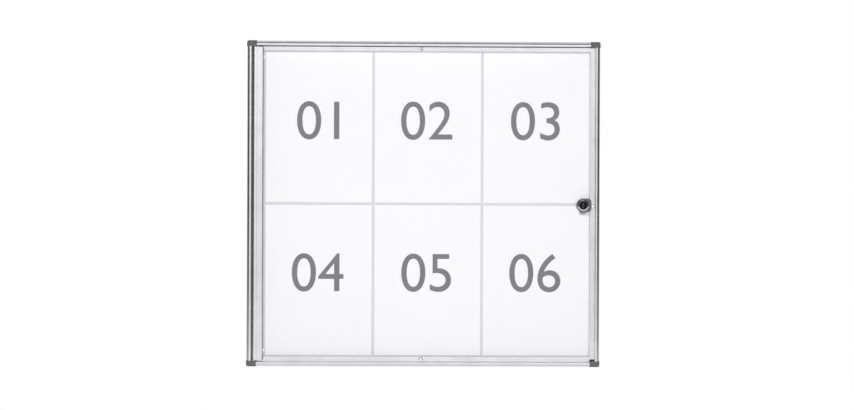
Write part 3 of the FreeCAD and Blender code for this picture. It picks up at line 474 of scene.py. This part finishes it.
gasket, tree, shader = surface("grey_soft_rubber", "#96989C", 0.6, IOR=1.5)
tree.links.new(blend_colours(tree, spread(tree, pattern(tree, 3.0), 0.0, 1.0), "#909296", "#9C9EA2"),
               shader.inputs["Base Color"])
wear(gasket, "glazing_gasket")

bumper, tree, shader = surface("clear_soft_rubber", "#F7F7F5", 0.1, IOR=1.42, Transmission_Weight=0.9)
tree.links.new(spread(tree, pattern(tree, 1.2), 0.06, 0.18), shader.inputs["Roughness"])
shade = add(tree, "ShaderNodeBsdfTransparent", {"Color": linear("#FBFBFB")})
clarity = add(tree, "ShaderNodeMath", {0: any_ray(tree, "Shadow", "Diffuse"), 1: BUMPER_CLARITY},
              operation="MAXIMUM")
mixed = add(tree, "ShaderNodeMixShader", {0: clarity.outputs[0], 1: shader.outputs[0], 2: shade.outputs[0]})
tree.links.new(mixed.outputs[0], tree.nodes["Material Output"].inputs["Surface"])
wear(bumper, "pane_bumpers")
print("gasket and 3 bumpers done")

# %% [markdown]
# ## Small metal parts
# Screws, pins and the nut are steel with a thin zinc plating: a cool, slightly cloudy metal. The tongue
# below the lock is taken to be pressed steel with a dull pale grey phosphate layer, which blurs the room.
# The lock's barrel has a mirror-bright chrome plating, and its turning plug is taken to be plated black.
# The hinge bushes are the only plastic here, taken to be off-white acetal.

# %% Zinc, chrome and black plating
def plated(name, colour, light, roughness, clouds_apart):
    """A plated metal whose brightness and polish vary slightly in clouds."""
    made, tree, shader = surface(name, colour, roughness, Metallic=1.0)
    cloud = pattern(tree, clouds_apart, 3.0)
    tree.links.new(blend_colours(tree, spread(tree, cloud, 0.0, 1.0), colour, light),
                   shader.inputs["Base Color"])
    tree.links.new(spread(tree, cloud, roughness * 0.8, roughness * 1.25), shader.inputs["Roughness"])
    return made


zinc = plated("zinc_plated_steel", "#BFC3C8", "#CDD0D3", 0.3, 3.0)
chrome = plated("bright_chrome_plating", "#C6C7CA", "#CECFD2", 0.06, 5.0)
black_plating = plated("black_nickel_plating", "#1A1A1C", "#232325", 0.22, 2.0)
phosphated = plated("phosphated_steel", "#B9BCBF", "#C6C8CB", 0.5, 4.0)
wear(zinc, "corner_screws", "hinge_pin_top", "hinge_pin_bottom", "lock_washer", "lock_nut", "lock_cam_screw")
wear(phosphated, "lock_cam")
wear(chrome, "lock_barrel")
wear(black_plating, "lock_plug")

bush, tree, shader = surface("natural_acetal", "#ECE9DF", 0.42, IOR=1.48, Subsurface_Weight=0.1)
tree.links.new(blend_colours(tree, spread(tree, pattern(tree, 4.0), 0.0, 1.0), "#E8E4D9", "#EFECE3"),
               shader.inputs["Base Color"])
wear(bush, "hinge_bush_top", "hinge_bush_bottom")
print("small parts done")

# %% [markdown]
# ## Shapes from formulas
# The finer pieces are surfaces with two parameters: a section, which is a row of points across the
# piece, and a way round, along which the section is repeated. Turned parts go round a circle, and the
# lock's housing goes round its own outline. Points are in millimetres until the last step.

# %% Sections, turned solids and the space that they fill
NEARLY = 0.001


def arc(centre, radii, start, end, count):
    """Points along an ellipse: its centre plus the two radii times the angle's cosine and sine."""
    angle = np.radians(np.linspace(start, end, count))
    return np.stack([centre[0] + radii[0] * np.cos(angle), centre[1] + radii[1] * np.sin(angle)], axis=1)


def ring_faces(rows, columns, closed):
    """Cells of a grid that closes on itself along its columns and, where closed is set, its rows too."""
    row, column = np.meshgrid(np.arange(rows if closed else rows - 1), np.arange(columns), indexing="ij")
    below, beside = (row + 1) % rows, (column + 1) % columns
    corners = (row * columns + column, below * columns + column, below * columns + beside,
               row * columns + beside)
    return np.stack([corner.ravel() for corner in corners], axis=1)


def turned(name, section, x, z, columns=96, reshape=None):
    """Turns a section of (radius, y) points about a line along Y: x + r cos a, y, z + r sin a.

    A section that starts and ends on the line gets one point there, with a fan of triangles. Any other
    section is closed from its last point back to its first. reshape may move the grid's points first.
    """
    angle = np.linspace(0.0, 2 * np.pi, columns, endpoint=False)
    poles = section[0, 0] == 0.0 and section[-1, 0] == 0.0
    rings = section[1:-1] if poles else section
    radius, y = (np.repeat(rings[:, i:i + 1], columns, axis=1) for i in (0, 1))
    points = np.stack([radius * np.cos(angle), y, radius * np.sin(angle)], axis=-1)
    if reshape:
        points = reshape(points, radius, angle)
    faces = [ring_faces(len(rings), columns, closed=not poles)]
    points = points.reshape(-1, 3)
    if poles:
        near, beside, last = np.arange(columns), (np.arange(columns) + 1) % columns, len(points)
        far = last - columns
        faces.append(np.stack([np.full(columns, last), near, beside], axis=1))
        faces.append(np.stack([far + near, np.full(columns, last + 1), far + beside], axis=1))
        ends = np.array([[0.0, section[0, 1], 0.0], [0.0, section[-1, 1], 0.0]])
        points = np.concatenate([points, ends])
    return mesh_of(name, (points + (x, 0.0, z)) * MM, *faces)


def volume(piece):
    """The space inside a closed mesh in mm3: positive where all its faces look outwards."""
    mesh = piece.data
    mesh.calc_loop_triangles()
    corners = np.empty(len(mesh.loop_triangles) * 3, dtype=np.int32)
    mesh.loop_triangles.foreach_get("vertices", corners)
    places = np.empty(len(mesh.vertices) * 3)
    mesh.vertices.foreach_get("co", places)
    a, b, c = np.moveaxis(places.reshape(-1, 3)[corners.reshape(-1, 3)], 1, 0)
    return float(np.einsum("ij,ij->i", a, np.cross(b, c)).sum() / 6 / MM**3)


def fitted(piece, body, finish, slot, *stands_for):
    """Puts a finish on a piece, ties it to its moving body, and hides the CAD nodes it stands for."""
    piece.data.materials.clear()
    piece.data.materials.append(finish)
    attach(piece, body)
    if stands_for:
        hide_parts(*stands_for)
    print(piece.name, len(piece.data.polygons), "faces,", round(volume(piece), 1), "mm3")
    return piece


def millimetres(node):
    """The two corners of a CAD node's box, in millimetres."""
    return [np.array(corner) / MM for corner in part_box(node)]


# %% [markdown]
# ## The lock's barrel
# The lock has a zinc barrel with a bright plating. In the photograph the upper half of its rim is dark
# and the lower half bright. So the rim is gently domed: its upper half mirrors the darker room above the
# softbox, and its lower half the pale floor. Behind the rim runs a thread with two flats, which keep the
# barrel from turning in the pane. The section goes over the rim and back, and each turn of the thread
# lowers the radius with a triangle wave whose phase follows the angle, which gives one true helix. The
# barrel's radius and flats repeat the drawing's sizes.

# %% Domed rim and threaded barrel
RIM_START_TILT = 11.0
RIM_TILT = 27.0
RIM_EDGE = 0.4
RIM_INNER_EDGE = 0.12
FACE_RADIUS = 8.4
FACE_DEPTH = 1.8
BARREL_RADIUS = 8.0
BARREL_FLAT = 6.5
BORE_RADIUS = 4.55
THREAD_PITCH = 1.0
ROWS_PER_TURN = 8
THREAD_DEPTH = 0.55
DOME_POWER = 1.6

barrel_low, barrel_high = millimetres("lock_barrel")
LOCK_X, LOCK_Z = (barrel_low[0] + barrel_high[0]) / 2, (barrel_low[2] + barrel_high[2]) / 2
RIM_RADIUS = (barrel_high[0] - barrel_low[0]) / 2
RIM_FRONT, BARREL_REAR = barrel_low[1], barrel_high[1]
housing_low, housing_high = millimetres("lock_housing")
HOUSING_FRONT, HOUSING_REAR = housing_low[1], housing_high[1]


def rim_section():
    """The front of the barrel: recess floor, recess wall, a dome that steepens outwards, and the edge.

    Along the dome s goes from 0 to 1, and the slope goes from that of the start tilt, a, to that of the
    rim's tilt, b, as tan a + (tan b - tan a) s^(p-1). Its integral is the depth used below.
    """
    tilt = math.radians(RIM_TILT)
    start_slope, end_slope = math.tan(math.radians(RIM_START_TILT)), math.tan(tilt)
    start = FACE_RADIUS + RIM_INNER_EDGE
    wide = RIM_RADIUS - RIM_EDGE * (1 - math.sin(tilt)) - start
    along = np.linspace(0.0, 1.0, 10)
    deep = wide * (start_slope * along + (end_slope - start_slope) * along**DOME_POWER / DOME_POWER)
    high = deep[-1]
    dome = np.stack([start + wide * along, RIM_FRONT + deep], axis=1)
    edge_centre = (RIM_RADIUS - RIM_EDGE, RIM_FRONT + high + RIM_EDGE * math.cos(tilt))
    return np.concatenate([
        [(BORE_RADIUS, RIM_FRONT + FACE_DEPTH), (FACE_RADIUS, RIM_FRONT + FACE_DEPTH)],
        arc((start, RIM_FRONT + RIM_INNER_EDGE), (RIM_INNER_EDGE, RIM_INNER_EDGE), 180, 270, 5)[:-1],
        dome,
        arc(edge_centre, (RIM_EDGE, RIM_EDGE), RIM_TILT - 90, 0, 6)[1:],
        [(RIM_RADIUS, HOUSING_FRONT), (BARREL_RADIUS, HOUSING_FRONT)],
    ])


def thread_and_flats(points, radius, angle):
    """Lowers the barrel's radius by a triangle wave along its helix, then cuts both flats."""
    y = points[..., 1]
    phase = (y / THREAD_PITCH - angle / (2 * np.pi)) % 1.0
    fade = np.clip(np.minimum(y - HOUSING_FRONT, BARREL_REAR - y) / THREAD_PITCH, 0.0, 1.0)
    on_barrel = (np.abs(radius - BARREL_RADIUS) < NEARLY) & (y >= HOUSING_FRONT)
    cut = np.where(on_barrel, THREAD_DEPTH * fade * np.abs(2 * phase - 1), 0.0)
    x, z = (radius - cut) * np.cos(angle), (radius - cut) * np.sin(angle)
    flat = np.where(on_barrel, BARREL_FLAT, np.inf)
    return np.stack([np.clip(x, -flat, flat), y, z], axis=-1)


thread_rows = np.arange(HOUSING_FRONT, BARREL_REAR, THREAD_PITCH / ROWS_PER_TURN)[1:]
barrel_section = np.concatenate([
    rim_section(),
    np.stack([np.full_like(thread_rows, BARREL_RADIUS), thread_rows], axis=1),
    [(BARREL_RADIUS, BARREL_REAR), (BORE_RADIUS, BARREL_REAR)],
])
fitted(turned("threaded_barrel", barrel_section, LOCK_X, LOCK_Z, 144, thread_and_flats), "door", chrome,
       "chrome", "lock_barrel")

# %% [markdown]
# ## The lock's housing
# The housing is a small moulding between the rim and the pane, round on the left and squarer on the
# right. Its outline is three arcs joined by straight lines. The section starts at the hole, runs over the
# flat front to a rounded edge, down the side and back along the rear. At the hole every point of the
# outline faces the point of the barrel that lies in the same direction.

# %% Moulded housing
HOUSING_ROUND = 1.3
HOUSING_REAR_EDGE = 0.3
HOUSING_CORNER = 7.0
HOLE_RADIUS = 8.15
HOLE_FLAT = 6.65
LEAST_ARC_POINTS = 20
ARC_POINT_SPACING = 60
housing_right = housing_high[0]
housing_half = (housing_high[2] - housing_low[2]) / 2


def outline(corners):
    """A closed outline: arcs of (x, z, radius, start, end), and the way out at each of its points.

    The spacing of its points is an angle in degrees times the arc's radius in millimetres.
    """
    places, ways = [], []
    for x, z, radius, start, end in corners:
        count = max(LEAST_ARC_POINTS, int(radius * (end - start) / ARC_POINT_SPACING))
        places.append(arc((x, z), (radius, radius), start, end, count))
        ways.append(arc((0.0, 0.0), (1.0, 1.0), start, end, count))
    return np.concatenate(places), np.concatenate(ways)


def carried(name, rows):
    """A solid from closed rows of (x, z) points, each at its own y, that close back to the first row."""
    points = np.stack([np.stack([row[:, 0], np.full(len(row), y), row[:, 1]], axis=1) for row, y in rows])
    return mesh_of(name, points * MM, ring_faces(len(rows), points.shape[1], closed=True))


rim, ways = outline([
    (housing_right - HOUSING_CORNER, LOCK_Z - housing_half + HOUSING_CORNER, HOUSING_CORNER, -90, 0),
    (housing_right - HOUSING_CORNER, LOCK_Z + housing_half - HOUSING_CORNER, HOUSING_CORNER, 0, 90),
    (LOCK_X, LOCK_Z, housing_half, 90, 270),
])
toward = np.arctan2(rim[:, 1] - LOCK_Z, rim[:, 0] - LOCK_X)
hole = np.stack([LOCK_X + np.clip(HOLE_RADIUS * np.cos(toward), -HOLE_FLAT, HOLE_FLAT),
                 LOCK_Z + HOLE_RADIUS * np.sin(toward)], axis=1)
face_edge, rear_edge = rim - ways * HOUSING_ROUND, rim - ways * HOUSING_REAR_EDGE
housing_rows = [(hole + (face_edge - hole) * share, HOUSING_FRONT) for share in np.linspace(0, 1, 5)]
for inset, drop in arc([HOUSING_ROUND] * 2, [-HOUSING_ROUND] * 2, 90, 0, 9)[1:]:
    housing_rows.append((rim - ways * inset, HOUSING_FRONT + drop))
for inset, rise in arc([HOUSING_REAR_EDGE] * 2, [-HOUSING_REAR_EDGE] * 2, 0, 90, 4):
    housing_rows.append((rim - ways * inset, HOUSING_REAR - rise))
housing_rows += [(hole + (rear_edge - hole) * share, HOUSING_REAR) for share in (0.5, 0.0)]
fitted(carried("moulded_housing", housing_rows), "door", small_plastic, "corner_plastic", "lock_housing")

# %% [markdown]
# ## The key slot
# The photograph shows a small glint at the key slot. It is taken to be a thin bright collar, pressed into
# the black face round the slot. The collar is a round bead carried along a path with two straight sides
# and two half circles.

# %% Bright collar
SLOT_HALF_WIDTH = 0.8
SLOT_HALF_HEIGHT = 3.0
BEAD = 0.32
face_front = millimetres("lock_plug")[0][1]

turn = SLOT_HALF_WIDTH + BEAD
middle_line, across_line = outline([
    (LOCK_X, LOCK_Z + SLOT_HALF_HEIGHT + BEAD - turn, turn, 0, 180),
    (LOCK_X, LOCK_Z - SLOT_HALF_HEIGHT - BEAD + turn, turn, 180, 360),
])
bead_rows = [(middle_line + across_line * out, face_front + deep)
             for out, deep in arc((0.0, 0.0), (BEAD, BEAD), -180, 160, 18)]
fitted(carried("key_slot_collar", bead_rows), "lock", chrome, "chrome")

# %% [markdown]
# ## Clear bumpers
# The bumpers are taken to be cast clear domes with a flat foot, as they come on a sheet of stick-on door
# stops. The section is a short upright foot and an ellipse up to the middle. Their radius and the side
# one's height repeat the drawing's sizes.

# %% Three clear domes
BUMPER_FOOT = 0.5
SIDE_BUMPER_Z = -4.0
bumper_low, bumper_high = millimetres("pane_bumpers")
BUMPER_RADIUS = 4.2
bumper_middle = (bumper_low[0] + BUMPER_RADIUS, bumper_high[0] - BUMPER_RADIUS)
bumper_end = bumper_high[2] - BUMPER_RADIUS
dome = arc((0.0, bumper_high[1] - BUMPER_FOOT),
           (BUMPER_RADIUS, bumper_high[1] - BUMPER_FOOT - bumper_low[1]), -90, 0, 16)
dome[0, 0] = 0.0
bumper_section = np.concatenate([dome, [(BUMPER_RADIUS, bumper_high[1]), (0.0, bumper_high[1])]])
bumper_places = {"top": (bumper_middle[0], bumper_end), "bottom": (bumper_middle[0], -bumper_end),
                 "side": (bumper_middle[1], SIDE_BUMPER_Z)}
for place, (x, z) in bumper_places.items():
    fitted(turned("clear_dome_" + place, bumper_section, x, z, 48), "case", bumper, "clear_rubber",
           "pane_bumpers")

# %% [markdown]
# ## Strips of painted shade
# The gap beside the stile and the corner right under the top lip are dark, where bare metal would shine,
# because they lie in shade. Dark grey strips with a fine fibre grain are laid there as painted shade: one
# on the ledge behind the stile, and a narrow one in the corner of the top ledge. It doesn't show why. The
# guess made here is a dust seal: a self-adhesive strip of dark felt on the ledge behind the stile, and a
# narrow one in the corner of the top ledge. Each is a flat section with two rounded front edges, carried
# along a straight line. The gap and the tab's reach repeat the drawing's sizes, and the play is the strips'
# own.

# %% Dark strips of painted shade
SHADE_STRIP_THICK = 0.4
SHADE_STRIP_EDGE = 0.2
SHADE_STRIP_FIBRE = 0.5
LEFT_SHADE_STRIP_WIDE = 7.0
TOP_SHADE_STRIP_WIDE = 1.6
TOP_SHADE_STRIP_LEFT, TOP_SHADE_STRIP_RIGHT = -327.0, 333.0
STILE_GAP = 2.2
PLAY = 0.1
TAB_REACH = 3.5
ledge_front = bumper_high[1]
lip_left = millimetres("hinge_stile")[0][0] - STILE_GAP
lip_width = lip_left - millimetres("frame_left")[0][0]
lip_top = millimetres("frame_top")[1][2] - lip_width
ledge_end = millimetres("frame_left")[1][2] - 3 * PLAY

# Painted shade: a dark grey finish with a fibre grain, standing in for the shade in the gaps.
painted_shade_finish, tree, shader = surface("dark_grey_painted_shade", "#5A5A5E", 0.95, IOR=1.45)
fibres = pattern(tree, SHADE_STRIP_FIBRE, 3.0)
tree.links.new(blend_colours(tree, spread(tree, fibres, 0.0, 1.0), "#535356", "#626266"),
               shader.inputs["Base Color"])
bumped(tree, shader, fibres, 0.05, 0.5)


def painted_shade_strip(name, start, wide, low, high, across, along):
    """A strip on the ledge: its section lies across the line, and is carried along it from low to high.

    The directions across, Y and along are right-handed, and the section runs clockwise round along.
    """
    front = ledge_front - SHADE_STRIP_THICK + SHADE_STRIP_EDGE
    section = np.concatenate([
        [(start, ledge_front), (start + wide, ledge_front)],
        arc((start + wide - SHADE_STRIP_EDGE, front), (SHADE_STRIP_EDGE, SHADE_STRIP_EDGE), 0, -90, 5),
        arc((start + SHADE_STRIP_EDGE, front), (SHADE_STRIP_EDGE, SHADE_STRIP_EDGE), -90, -180, 5),
    ])
    count = len(section)
    flat = section[:, :1] * np.array(across) + section[:, 1:] * np.array((0.0, 1.0, 0.0))
    points = np.stack([flat + place * np.array(along) for place in (low, high)])
    foot = np.arange(count)[None, :]
    strip = mesh_of(name, points * MM, ring_faces(2, count, closed=False), foot, foot[:, ::-1] + count)
    return fitted(strip, "case", painted_shade_finish, "gasket_rubber")


# Painted shade: these strips darken the gap beside the stile and the corner under the top lip.
painted_shade_strip("painted_shade_strip_left", lip_left + PLAY, LEFT_SHADE_STRIP_WIDE, -ledge_end, ledge_end - TAB_REACH,
           (1.0, 0.0, 0.0), (0.0, 0.0, 1.0))
painted_shade_strip("painted_shade_strip_top", lip_top - PLAY - TOP_SHADE_STRIP_WIDE, TOP_SHADE_STRIP_WIDE, -TOP_SHADE_STRIP_RIGHT,
           -TOP_SHADE_STRIP_LEFT, (0.0, 0.0, 1.0), (-1.0, 0.0, 0.0))

# %% [markdown]
# ## Corner screws
# On the wall side four countersunk screws go through the side profiles and hold the corner legs. The head
# has a cross recess. The section runs from the tip to the middle of the head, and over the head the
# surface drops where it lies within the width of a wing of the cross.

# %% Countersunk screws with a cross recess
WING_HALF_WIDTH = 0.42
WING_REACH = 1.9
WING_DEPTH = 1.2
WING_FLANK = 1.8
HEAD_EDGE, HEAD_EDGE_DROP = 0.1, 0.05
SCREW_RADIUS = 1.5
screw_low, screw_high = millimetres("corner_screws")
HEAD_RADIUS = 2.9
HEAD_DEPTH = HEAD_RADIUS - SCREW_RADIUS


def cross_recess(points, radius, angle):
    """Sinks the head by the wing's depth near both axes, fading out towards the wings' ends."""
    x, y, z = np.moveaxis(points, -1, 0)
    beside = np.clip(WING_FLANK - np.minimum(np.abs(x), np.abs(z)) / WING_HALF_WIDTH, 0.0, 1.0)
    reach = np.clip((WING_REACH - radius) / (WING_REACH / 2), 0.0, 1.0)
    on_head = y > screw_high[1] - NEARLY
    return np.stack([x, y - np.where(on_head, WING_DEPTH * beside * reach, 0.0), z], axis=-1)


head_radii = np.linspace(HEAD_RADIUS - HEAD_EDGE, 0.0, 30)
screw_section = np.concatenate([
    [(0.0, screw_low[1]), (SCREW_RADIUS, screw_low[1]), (SCREW_RADIUS, screw_high[1] - HEAD_DEPTH),
     (HEAD_RADIUS, screw_high[1] - HEAD_EDGE_DROP)],
    np.stack([head_radii, np.full_like(head_radii, screw_high[1])], axis=1),
])
screw_x, screw_z = screw_high[0] - HEAD_RADIUS, screw_high[2] - HEAD_RADIUS
for right in (-1, 1):
    for up in (-1, 1):
        name = "corner_screw_%s_%s" % ("top" if up > 0 else "bottom", "right" if right > 0 else "left")
        fitted(turned(name, screw_section, right * screw_x, up * screw_z, 96, cross_recess), "case", zinc,
               "screw_steel", "corner_screws")

# %% [markdown]
# ## The numbers on the sheets
# Each sheet carries a large plain number that says which place it fills, in the grey of ordinary
# printing ink. A number starts as text, which gives clean outlines. It is made a mesh while it still
# lies flat, and only then stood up and put on its sheet by array arithmetic.

# %% Printed numbers
NUMBER_HEIGHT = 76.0
INK_LAYER = 0.04
INK_FOOT = INK_LAYER / 4
TEXT_DEPTH = 0.01
COLUMNS = (-209.0, 5.8, 221.4)
ROWS = (164.8, -136.3)
PAPER_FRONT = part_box("notice_sheets")[0].y

ink, tree, shader = surface("grey_printing_ink", "#75767B", 0.6, IOR=1.5)
tree.links.new(blend_colours(tree, spread(tree, pattern(tree, 2.0, 3.0), 0.0, 1.0), "#737479", "#77787D"),
               shader.inputs["Base Color"])


def printed_number(name, digits, centre_x, centre_z):
    """A number as a thin layer on the paper: flat text (x, y, z) becomes (x, -z, y), scaled and moved."""
    text = bpy.data.curves.new(name, "FONT")
    text.body, text.extrude = digits, TEXT_DEPTH
    draft = bpy.data.objects.new(name + "_draft", text)
    mesh = bpy.data.meshes.new_from_object(draft)
    bpy.data.objects.remove(draft)
    flat = np.empty(len(mesh.vertices) * 3)
    mesh.vertices.foreach_get("co", flat)
    flat = flat.reshape(-1, 3)
    low, high = flat.min(axis=0), flat.max(axis=0)
    size = NUMBER_HEIGHT * MM / (high[1] - low[1])
    x = (flat[:, 0] - (low[0] + high[0]) / 2) * size + centre_x * MM
    z = (flat[:, 1] - (low[1] + high[1]) / 2) * size + centre_z * MM
    y = PAPER_FRONT - np.where(flat[:, 2] > 0, INK_LAYER, INK_FOOT) * MM
    mesh.vertices.foreach_set("co", np.stack([x, y, z], axis=1).ravel())
    mesh.name = name
    mesh.update()
    made = bpy.data.objects.new(name, mesh)
    bpy.context.scene.collection.objects.link(made)
    made.data.materials.clear()
    made.data.materials.append(ink)
    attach(made, "case")
    return made


places = [(x, z) for z in ROWS for x in COLUMNS]
numbers = [printed_number(f"number_{i:02d}", f"{i:02d}", x, z) for i, (x, z) in enumerate(places, 1)]
print("numbers:", len(numbers), "triangles:", sum(len(n.data.polygons) for n in numbers))
